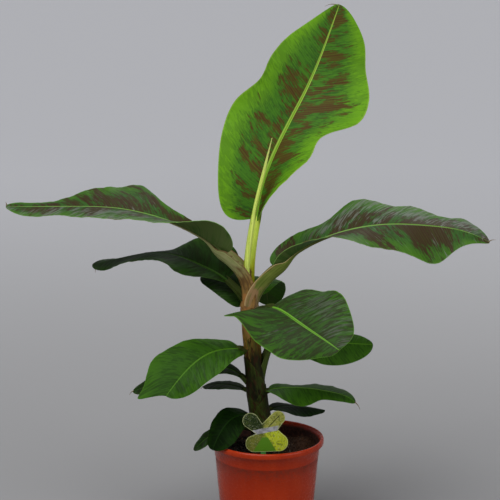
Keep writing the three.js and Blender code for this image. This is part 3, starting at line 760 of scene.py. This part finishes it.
def pot_finish():
    """Glossy injection-moulded plastic: dust, faint mould streaks, and soil and painted shade on its inner
    wall.
    """
    finish = Finish("pot_plastic", 0.22)
    where = finish.where()
    x, y, z = finish.split(where)
    turn = finish.add("Math", {0: y, 1: x}, operation="ARCTAN2")
    cloud = finish.noise(where, scale=9, detail=3)
    flow = finish.noise((turn * 7, z * 9, 0.0), detail=3)
    scuff = finish.noise((turn * 12, z * 160, 3.0), detail=4, roughness=0.65)
    fleck = finish.noise(where, scale=650)
    colour = mix(step(cloud, 0.3, 0.7, flow, 0.6), (0.3, 0.02, 0.0012), (0.35, 0.028, 0.0025))
    colour = mix(step(scuff, 0.62, 0.78) * 0.22, colour, (0.46, 0.09, 0.02))
    dust = step(fleck, 0.64, 0.75, cloud, 0.4) * 0.25
    colour = mix(dust, colour, (0.34, 0.12, 0.05))
    radius = finish.add("VectorMath", {0: finish.join(x, y, 0.0)}, output=1, operation="LENGTH")
    wall = z * ((POT["neck_radius"] - POT["foot_radius"]) / NECK_HEIGHT) + POT["foot_radius"] * MM
    # Partly soil smeared on the inner wall and partly painted shade inside the pot: the inner wall above the
    # floor is darkened to a near-black brown.
    crumbly = finish.noise(where, scale=190, detail=5, roughness=0.7)
    inner = step(wall - radius, 0.0004, 0.0014, crumbly, 0.0016) * step(z, 0.02, 0.03)
    soil_and_shade = mix(step(crumbly, 0.42, 0.66), (0.008, 0.006, 0.005), (0.055, 0.024, 0.012))
    colour = mix(inner * 0.95, colour, soil_and_shade)
    rough = 0.25 + step(scuff, 0.5, 0.75) * 0.18 + dust * 0.4 + inner * 0.5
    relief = flow * 0.5 + scuff * 0.2 + crumbly * inner * 6.0
    return finish.done(colour, rough, bump(relief, 0.12, 0.0012))


def soil_finish(name, dark, light, scale):
    finish = Finish(name, 0.15)
    where = finish.where()
    grain = finish.noise(where, scale=scale, detail=5, roughness=0.7)
    fleck = finish.noise(where, scale=scale * 2.7)
    colour = mix(step(grain, 0.35, 0.7), dark, light)
    x = finish.split(where)[0]
    drier = step(x, 0.02, 0.075, grain, 0.05)
    colour = mix(drier * 0.55, colour, (0.085, 0.034, 0.015))
    colour = mix(step(fleck, 0.66, 0.74) * 0.5, colour, (0.2, 0.12, 0.06))
    return finish.done(colour, 0.9, bump(grain, 0.8, 0.003))


def label_finish():
    """A plain printed tag: mottled greens with a grey band across its middle and no lettering."""
    finish = Finish("label_print", 0.1)
    where = finish.where()
    x, y, z = finish.split(where)
    right = (x - LABEL_CENTRE[0] * MM) * 1000
    up = (z - LABEL_CENTRE[2] * MM) * 1000
    mottle = finish.noise(where, scale=260, detail=4, roughness=0.65)
    leafy = finish.noise(where, scale=110, detail=3)
    speck = finish.noise(where, scale=620)
    across = step(right, -3.0, 6.0, leafy, 10)
    top = mix(across, (0.014, 0.026, 0.006), (0.26, 0.27, 0.05))
    bottom = mix(across, (0.13, 0.14, 0.02), (0.4, 0.46, 0.02))
    colour = mix(step(up + 3 - right * 0.2, -1.0, 1.0), bottom, top)
    colour = mix(step(mottle, 0.5, 0.6, leafy, 0.5) * 0.6, colour, (0.05, 0.075, 0.012))
    colour = mix(step(speck, 0.6, 0.68) * 0.5, colour, (0.42, 0.44, 0.3))
    slit = step(1.6 - abs(up - 6 - (right - 11) * 1.11), 0.0, 0.8) * step(11 - abs(right - 19), 0.0, 2.0)
    colour = mix(slit * 0.9, colour, (0.018, 0.02, 0.008))
    band = step(5.2 - abs(up + 3 - right * 0.2), 0.0, 1.5) * step(27 - abs(right - 3), 0.0, 6.0)
    grey = mix(step(leafy, 0.4, 0.6), (0.34, 0.34, 0.37), (0.2, 0.2, 0.21))
    colour = mix(band, colour, grey)
    low = step(7.5 - abs(right - 3) + (-18 - up) * 0.6, 0.0, 1.5) * step(-14 - up, 0.0, 2.0)
    colour = mix(low, colour, (0.075, 0.19, 0.012))
    return finish.done(colour, 0.35 + mottle * 0.1, bump(mottle, 0.05, 0.0005))


def floor_finish():
    """Plain grey studio paper, with a painted shadow making it a little darker round the pot."""
    finish = Finish("floor_paper", 0.0)
    where = finish.where()
    distance = finish.add("VectorMath", {0: where}, output=1, operation="LENGTH")
    # Painted shadow: the paper is darkest near the pot and pales over the next five metres.
    colour = mix(step(distance, 0.2, 5.2), (0.29, 0.29, 0.295), (0.475, 0.48, 0.505))
    return finish.done(colour, 0.9)


# ---- Leaves ----

def blade_mesh(leaf):
    """The blade as a thin closed shell: finish 0 above, 1 below and 2 on the margin.

    Its place is how far out a point is and where its vein starts, and its share is how far it is towards the
    margin, how far along the blade, and half the midrib's width there."""
    columns, rows = LARGE_GRID if leaf.blade > LARGE_BLADE else SMALL_GRID

    def rule(u, v):
        side, sign = (0, 1) if u < 0.5 else (1, -1)
        q = abs(2 * u - 1)
        t = (1 - math.cos(math.pi * v)) / 2
        rib = leaf.rib(t)
        width = max(leaf.half_width(t, side), rib * (1 - 0.7 * t), THINNEST_HALF)
        point, above = leaf.surface(t, side, q, width)
        root = t * leaf.blade - leaf.slant[side] * q * width
        return point, (sign * q * width * MM, root * MM, leaf.seed), (sign * q, t, rib * MM), above

    bm = grid_sheet(columns, rows, rule, "place", "share", "above")
    layer = bm.verts.layers.float_vector["above"]
    made = bmesh.ops.extrude_face_region(bm, geom=bm.faces[:], use_keep_orig=True)["geom"]
    for vert in made:
        if isinstance(vert, bmesh.types.BMVert):
            vert.co -= vert[layer] * BLADE_THICKNESS
    face_out(bm)
    for face in bm.faces:
        facing = face.normal.dot(face.verts[0][layer])
        face.material_index = 0 if facing > MARGIN_FACING else 1 if facing < -MARGIN_FACING else 2
    return bm


def stalk_mesh(leaf):
    """The petiole, an open channel, which runs on below the blade as its tapering midrib.

    Its place is how far round and how far along a point is."""

    def rule(u, v):
        s = leaf.length * STALK_REACH * v
        t = clamp((s - leaf.petiole) / leaf.blade)
        open_blade = smooth(0, 0.05, t)
        stalk = lerp(lerp(*leaf.stalk, clamp(s / leaf.petiole)), leaf.rib(t) * 1.2, smooth(0, 0.12, t))
        point, _, left, up = leaf.frame_at(s)
        outer = u < STALK_OUTSIDE
        turn = math.pi * (u / STALK_OUTSIDE if outer else (1 - u) / (1 - STALK_OUTSIDE))
        depth = lerp(1.05, 1.1, open_blade) if outer else lerp(0.2, 0.7, open_blade)
        across = math.cos(turn)
        height = 0.8 * (1 - open_blade) * across**2 - depth * math.sin(turn)
        size = max(stalk, 0.5)
        point += left * (across * size) + up * (height * size - 0.4 * open_blade)
        return point, (abs(2 * u - STALK_OUTSIDE), v * leaf.length * MM, leaf.seed)

    return close_tube(grid_sheet(20, int(leaf.length / 5), rule, "place"))


def thread_mesh(leaf):
    """The dry thread that hangs from a leaf's tip."""
    start, ahead, _, _ = leaf.frame_at(leaf.length)
    way = Vector(leaf.thread_way).normalized() if any(leaf.thread_way) else ahead
    across = way.cross(Vector((0, 1, 0))).normalized()
    down = Vector((0, 0, -1))

    def rule(u, v):
        run = v * leaf.thread
        middle = start - ahead * 2 + way * run + down * (run**2 / leaf.thread * 0.3)
        middle += across * (math.sin(v * 5 + leaf.seed) * 1.2 * v)
        turn = 2 * math.pi * u
        size = lerp(1.1, 0.25, v)
        side = across * math.cos(turn) + way.cross(across) * (math.sin(turn) * 0.6)
        return [middle + side * size]

    return close_tube(grid_sheet(8, 12, rule))


def make_leaf(name, seed, finishes):
    leaf = Leaf(name, seed)
    parts = [blade_mesh(leaf), stalk_mesh(leaf)]
    set_material(parts[1], STALK_FINISH)
    if leaf.thread:
        parts.append(thread_mesh(leaf))
        set_material(parts[2], THREAD_FINISH)
    tone = leaf.tone
    names = (tone, tone + "_under", tone + "_edge", "stalk_" + leaf.stalk_tone, "dry")
    materials = [finishes[one] for one in names]
    return finish_piece(f"{name}_blade", parts, materials, node=name, sharp=60)


# ---- Stem ----

def stem_mesh():
    """The stem's core: a tapering leaning tube with long ridges."""

    def rule(u, v):
        z = lerp(SOIL_TOP - 2, STEM_TOP, v)
        turn = 2 * math.pi * u
        ridge = noise.noise(Vector((math.cos(turn) * 3.5, math.sin(turn) * 3.5, z / 140)))
        point = stem_axis(z) + ring(turn) * (stem_radius(z) - STEM_INSET + 0.7 * ridge)
        place = 0.5 + 0.4 * abs(2 * u - 1), lerp(SOIL_TOP, STEM_TOP, v) * MM, 1.0
        return point, place, (1.0, 0.0, 0.0)

    return close_tube(grid_sheet(72, 150, rule, "place", "share"))


def sheath_mesh(leaf, proud):
    """A leaf's sheath: a thin sheet that hugs the stem below its stalk and ends in two slanting edges.

    Its place is how far round and how high a point is, and its share is how far it is below the top."""
    reach = HIGH_REACH if leaf.start > HIGH_LEAF else LOW_REACH
    heading = math.radians(leaf.heading[0])
    top = leaf.start + 6
    bottom = max(SOIL_TOP - 1, top - reach)

    def rule(u, v):
        angle = (2 * u - 1) * math.radians(SHEATH_WRAP)
        slant = abs(2 * u - 1) ** 1.6
        z = lerp(bottom, top - slant * reach * 0.55, v)
        turn = heading + angle
        swell = 0.8 * smooth(0.75, 1.0, v) * (1 - slant)
        edge = -proud * 0.6 * smooth(0.96, 1.0, abs(2 * u - 1)) - proud * 0.8 * smooth(0.1, 0.0, v)
        ridge = noise.noise(Vector((math.cos(turn) * 4, math.sin(turn) * 4, z / 90 + leaf.seed)))
        radius = stem_radius(z) - STEM_INSET + proud + swell + edge + 0.45 * ridge
        place = 2 * u - 1, lerp(bottom, top, v) * MM, leaf.seed
        return stem_axis(z) + ring(turn) * radius, place, ((1 - v) * (top - bottom) * MM, 0.0, 0.0)

    bm = grid_sheet(44, 60, rule, "place", "share")
    face_out(bm)
    bmesh.ops.solidify(bm, geom=bm.faces[:], thickness=0.5)
    face_out(bm)
    return bm


def make_stem(leaves, finish):
    parts = [stem_mesh()]
    for k, leaf in enumerate(sorted(leaves, key=lambda one: (-one.start, one.name))):
        parts.append(sheath_mesh(leaf, SHEATH_PROUD + SHEATH_STEP * k))
    return finish_piece("stem_sheaths", parts, [finish], node="stem", sharp=70)


def make_rolled_leaf(finish):
    """The new leaf, rolled into a slim cone with one edge wound round it."""

    def centre(v):
        return Vector([along([point[k] for point in ROLLED_POINTS], v) for k in range(3)])

    def rule(u, v):
        turn = 2 * math.pi * u
        seam = (u + ROLLED_WIND * v) % 1.0
        radius = along(ROLLED_RADIUS, v) * (1 - 0.20 * seam + 0.03 * math.sin(turn * 5))
        return centre(v) + ring(turn) * radius, (seam, centre(v).z * MM, 2.0)

    bm = close_tube(grid_sheet(40, 140, rule, "place"))
    return finish_piece("rolled_leaf_skin", [bm], [finish], node="rolled_leaf")


# ---- Pot and soil ----

def pot_profile():
    """Radius and height round the pot's wall, from the middle of its underside to its floor."""
    neck, lip, top, wall = POT["neck_radius"], POT["lip_radius"], POT["height"], POT["wall"]
    step_top = NECK_HEIGHT - POT["step_below_lip"]
    return [
        (0, 0.8), (58, 0.8), (62, 0), (POT["foot_radius"] - 2.5, 0), (POT["foot_radius"] - 0.6, 0.7),
        (pot_radius(3), 3), (pot_radius(60), 60), (pot_radius(110), 110),
        (pot_radius(step_top - 1.2) - POT["step_proud"], step_top - 1.2),
        (pot_radius(step_top) - 0.1, step_top - 0.2), (pot_radius(step_top + 1), step_top + 1),
        (neck, NECK_HEIGHT - 0.6), (neck + 0.8, NECK_HEIGHT), (lip - 1.8, NECK_HEIGHT + 0.1),
        (lip - 0.5, NECK_HEIGHT + 0.6), (lip, NECK_HEIGHT + 2), (lip, top - 3.4), (lip - 0.5, top - 1.6),
        (lip - 1.6, top - 0.4), (lip - 3, top), (lip - 4.6, top - 0.5), (neck + 0.6, top - 2.2),
        (neck - wall + 0.4, NECK_HEIGHT - 1), (pot_radius(110) - wall, 110), (pot_radius(40) - wall, 40),
        (pot_radius(6) - wall - 0.5, POT["floor"] + 1.5), (pot_radius(3) - wall - 3, POT["floor"]),
        (0, POT["floor"]),
    ]


def spun(profile, steps):
    """A closed surface from a profile of (radius, height) spun about the Z axis."""
    bm = bmesh.new()
    verts = [bm.verts.new((radius, 0, z)) for radius, z in profile]
    edges = [bm.edges.new(pair) for pair in zip(verts, verts[1:])]
    bmesh.ops.spin(bm, geom=verts + edges, cent=(0, 0, 0), axis=(0, 0, 1), angle=2 * math.pi,
                   steps=steps, use_merge=True)
    bmesh.ops.remove_doubles(bm, verts=bm.verts, dist=1e-3)
    face_out(bm)
    return bm


def make_pot(finish):
    piece = finish_piece("pot_shell", [spun(pot_profile(), 160)], [finish], node="pot", sharp=50)
    drills = bmesh.new()
    for k in range(POT["drain_count"]):
        turn = 2 * math.pi * k / POT["drain_count"]
        middle = ring(turn) * POT["drain_ring"] * MM
        bmesh.ops.create_cone(drills, cap_ends=True, segments=32, radius1=POT["drain_radius"] * MM,
                              radius2=POT["drain_radius"] * MM, depth=0.02,
                              matrix=Matrix.Translation(middle))
    mesh = bpy.data.meshes.new("drills")
    drills.to_mesh(mesh)
    drills.free()
    drill = add_object("drills", mesh)
    cut = piece.modifiers.new("drain_holes", "BOOLEAN")
    cut.operation, cut.object, cut.solver = "DIFFERENCE", drill, "EXACT"
    bpy.context.view_layer.update()
    holed = bpy.data.meshes.new_from_object(piece.evaluated_get(bpy.context.evaluated_depsgraph_get()))
    piece.modifiers.clear()
    piece.data = holed
    bpy.data.objects.remove(drill)
    return piece


def soil_height(x, y):
    """The soil's surface: lumps, a shallow dish and a low collar round the stem."""
    radius = math.hypot(x, y)
    lumps = 2.2 * noise.noise(Vector((x / 16, y / 16, 3))) + 1.3 * noise.noise(Vector((x / 6, y / 6, 8)))
    collar = 3.0 * math.exp(-((math.hypot(x - STEM_X[0], y) - 24) / 10) ** 2)
    heap = HEAP_HEIGHT * math.exp(-(math.dist((x, y), HEAP_CENTRE) / HEAP_SPREAD) ** 2)
    return SOIL_TOP - 2.5 + lumps + collar + heap - 2.0 * smooth(70, 94, radius)


def make_soil(ground, *crumb_finishes):
    """The soil's body, and loose crumbs on it."""

    def rule(u, v):
        radius = lerp(0.0, pot_radius(SOIL_TOP) - POT["wall"] - 0.3, v)
        turn = 2 * math.pi * u
        x, y = radius * math.cos(turn), radius * math.sin(turn)
        return [Vector((x, y, soil_height(x, y)))]

    bm = grid_sheet(150, 60, rule)
    bmesh.ops.remove_doubles(bm, verts=bm.verts, dist=1e-3)
    rim = [edge for edge in bm.edges if edge.is_boundary]
    for depth in (60, 160):
        wall = bmesh.ops.extrude_edge_only(bm, edges=rim)["geom"]
        rim = [item for item in wall if isinstance(item, bmesh.types.BMEdge) and item.is_boundary]
        level = SOIL_TOP - depth
        for vert in {vert for edge in rim for vert in edge.verts}:
            inner = pot_radius(level) - POT["wall"] - 0.4
            vert.co = Vector((vert.co.x, vert.co.y, 0)).normalized() * inner + Vector((0, 0, level))
        rim = [edge for edge in rim if all(abs(vert.co.z - level) < 0.01 for vert in edge.verts)]
    bmesh.ops.holes_fill(bm, edges=rim, sides=0)
    face_out(bm)
    finish_piece("soil_bed", [bm], [ground], node="soil")

    dice = random.Random(7)
    for (name, count, sizes), finish in zip(CRUMBS, crumb_finishes):
        crumbs = bmesh.new()
        for _ in range(count):
            radius = CRUMB_REACH * math.sqrt(dice.random())
            turn = dice.uniform(0, 2 * math.pi)
            x, y = radius * math.cos(turn), radius * math.sin(turn)
            size = lerp(*sizes, dice.random() ** 2.2)
            if math.hypot(x - STEM_X[0], y) < CRUMB_FREE or radius + size > CRUMB_REACH + 0.5:
                continue
            spot = Matrix.Translation((x, y, soil_height(x, y) + size * 0.3))
            lie = Matrix.Rotation(dice.uniform(0, 6.28), 4, Vector((dice.random(), dice.random(), 0.5)))
            shape = Matrix.Diagonal((1, dice.uniform(0.6, 1), dice.uniform(0.45, 0.9), 1))
            made = bmesh.ops.create_icosphere(crumbs, subdivisions=1, radius=size, matrix=spot @ lie @ shape)
            for vert in made["verts"]:
                vert.co += Vector([dice.uniform(-1, 1) * size * 0.16 for _ in range(3)])
        finish_piece(name, [crumbs], [finish])


# ---- Label ----

def label_outline():
    """Points round the label's plate, counter-clockwise."""
    points = []
    for ((x, y), radius, arc), notch in zip(LABEL_WINGS, LABEL_NOTCHES):
        for k in range(19):
            turn = math.radians(lerp(*arc, k / 18))
            points.append((x + radius * math.cos(turn), y + radius * math.sin(turn)))
        if notch:
            points.append(notch)
    return points


def round_off(bm, edges, offset):
    bmesh.ops.bevel(bm, geom=edges, offset=offset, segments=2, affect="EDGES", profile=0.5, material=-1)


def make_label(finish, stake_finish):
    """A thin plate with a printed border inside its edge, on a pointed stake."""
    x, y, z = LABEL_CENTRE
    plate = bmesh.new()
    rim = [plate.verts.new((x + px, y + LABEL_THICKNESS / 2, z + pz)) for px, pz in label_outline()]
    face = plate.faces.new(rim)
    made = bmesh.ops.extrude_face_region(plate, geom=[face])["geom"]
    front = [item for item in made if isinstance(item, bmesh.types.BMVert)]
    bmesh.ops.translate(plate, vec=(0, -LABEL_THICKNESS, 0), verts=front)
    face_out(plate)
    edges = [edge for edge in plate.edges if abs(edge.verts[0].co.y - edge.verts[1].co.y) < 1e-4]
    round_off(plate, edges, 0.3)
    fronts = [face for face in plate.faces if len(face.verts) > 4 and face.normal.y < 0]
    border = bmesh.ops.inset_region(plate, faces=fronts, thickness=0.55, use_even_offset=True)["faces"]
    for one in border:
        one.material_index = 1
    bmesh.ops.triangulate(plate, faces=[face for face in plate.faces if len(face.verts) > 4])
    pieces = [finish, plastic_finish("label_border", (0.42, 0.45, 0.20))]
    finish_piece("label_plate", [plate], pieces, node="plant_label", sharp=40)

    stake = bmesh.new()
    bmesh.ops.create_cube(stake, size=1)
    top, bottom = z - 26, SOIL_TOP - LABEL_STAKE["depth"] + 1
    bmesh.ops.scale(stake, vec=(LABEL_STAKE["width"], 1.0, top - bottom), verts=stake.verts)
    bmesh.ops.translate(stake, vec=(x, y, (top + bottom) / 2), verts=stake.verts)
    low = [vert for vert in stake.verts if vert.co.z < bottom + 1]
    bmesh.ops.scale(stake, vec=(0.45, 1, 1), verts=low, space=Matrix.Translation((-x, -y, 0)))
    round_off(stake, stake.edges[:], 0.25)
    finish_piece("label_stake", [stake], [stake_finish], sharp=40)


def plastic_finish(name, colour):
    finish = Finish(name, 0.5)
    where = finish.where()
    grain = finish.noise(where, scale=120, detail=3)
    paler = tuple(min(1.0, part * 1.25) for part in colour)
    return finish.done(mix(grain, colour, paler), 0.35 + grain * 0.15)


# ---- Studio ----

def make_floor(finish):
    bm = bmesh.new()
    bmesh.ops.create_grid(bm, x_segments=1, y_segments=1, size=90)
    mesh = bpy.data.meshes.new("floor")
    bm.to_mesh(mesh)
    bm.free()
    mesh.materials.append(finish)
    add_object("floor", mesh)


def make_camera():
    data = bpy.data.cameras.new("camera")
    data.lens = 106.06
    data.sensor_width = 36
    camera = add_object("camera", data)
    camera.location = (-0.031, -2.6, 1.045)
    camera.rotation_euler = (math.radians(79), 0, 0)
    bpy.context.scene.camera = camera


def make_light(kind, name, place, target, **settings):
    """A light that faces a point of the plant."""
    data = bpy.data.lights.new(name, kind)
    for key, value in settings.items():
        setattr(data, key, value)
    light = add_object(name, data)
    light.location = place
    light.rotation_euler = (Vector(target) - Vector(place)).to_track_quat("-Z", "Y").to_euler()


def make_studio():
    make_floor(floor_finish())
    make_camera()
    foot, crown = (0, 0, 0), (0, 0, 0.5)
    make_light("SUN", "daylight", (-1.0, -1.6, 3.2), foot, energy=2.2, angle=math.radians(50))
    make_light("AREA", "key", (-1.8, -2.4, 2.4), crown, shape="SQUARE", size=1.4, energy=18)
    make_light("SUN", "fill", (2.2, -1.7, 0.9), foot, energy=0.8, angle=math.radians(40))
    make_light("AREA", "back", (0.8, 2.4, 2.6), crown, shape="SQUARE", size=1.6, energy=14)
    world = bpy.data.worlds.new("studio")
    world.use_nodes = True
    nodes, links = world.node_tree.nodes, world.node_tree.links
    kinds = ("TexCoord", "SeparateXYZ", "ValToRGB")
    facing, parts, shade = (nodes.new("ShaderNode" + kind) for kind in kinds)
    links.new(facing.outputs["Generated"], parts.inputs[0])
    links.new(parts.outputs["Z"], shade.inputs[0])
    links.new(shade.outputs[0], nodes["Background"].inputs["Color"])
    for element, (height, grey) in zip(shade.color_ramp.elements, ((0.03, 0.42), (0.45, 0.20))):
        element.position = height
        element.color = (grey, grey, grey * 1.04, 1)
    bpy.context.scene.world = world
    bpy.context.scene.view_settings.view_transform = "Standard"


# ---- The whole plant ----

def make_plant():
    finishes = {"dry": dry_finish()}
    for tone in LEAF_TONES:
        finishes[tone] = leaf_finish(tone)
        finishes[tone + "_under"] = leaf_under_finish(tone)
        finishes[tone + "_edge"] = leaf_edge_finish(tone)
    for tone in STALK_TONES:
        finishes["stalk_" + tone] = stalk_finish(tone)
    for seed, name in enumerate(LEAVES):
        make_leaf(name, seed + 0.5, finishes)
    make_stem([Leaf(name, seed) for seed, name in enumerate(LEAVES)], stem_finish())
    make_rolled_leaf(rolled_leaf_finish())
    make_pot(pot_finish())
    make_soil(
        soil_finish("soil_ground", (0.010, 0.008, 0.006), (0.035, 0.024, 0.016), 160),
        soil_finish("soil_dark", (0.008, 0.006, 0.005), (0.03, 0.02, 0.014), 260),
        soil_finish("soil_brown", (0.05, 0.028, 0.014), (0.13, 0.07, 0.035), 300),
        soil_finish("soil_chip", (0.25, 0.20, 0.14), (0.42, 0.36, 0.28), 300),
    )
    make_label(label_finish(), plastic_finish("stake_plastic", (0.04, 0.16, 0.03)))


make_studio()
make_plant()
